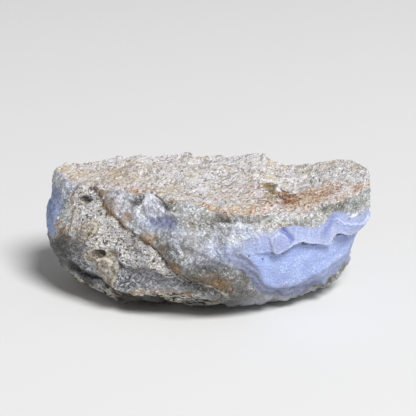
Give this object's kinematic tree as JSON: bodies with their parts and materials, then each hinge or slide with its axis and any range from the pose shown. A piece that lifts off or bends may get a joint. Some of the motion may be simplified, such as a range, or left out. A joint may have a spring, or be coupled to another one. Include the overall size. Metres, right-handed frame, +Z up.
{
  "type": "rough agate specimen",
  "caption": "Rough broken lump of blue and grey chalcedony in pale rock, flat crust on top, a scoop under a ledge, and a small flat spot underneath to rest on.",
  "frame": {"origin": "middle of the stone's bounding box in plan, at the height of the flat spot it rests on", "axes": "+X along the longest way, towards the blue end; +Y away from the front face; +Z up, through the crust on top"},
  "size_m": [0.1094, 0.067, 0.0381],
  "materials": {
    "stone": "rough broken stone: granular cream-grey rock, sparkling grey quartz, smooth pale blue chalcedony"
  },
  "bodies": {
    "root": {"agate_stone": "stone"}
  },
  "joints": []
}
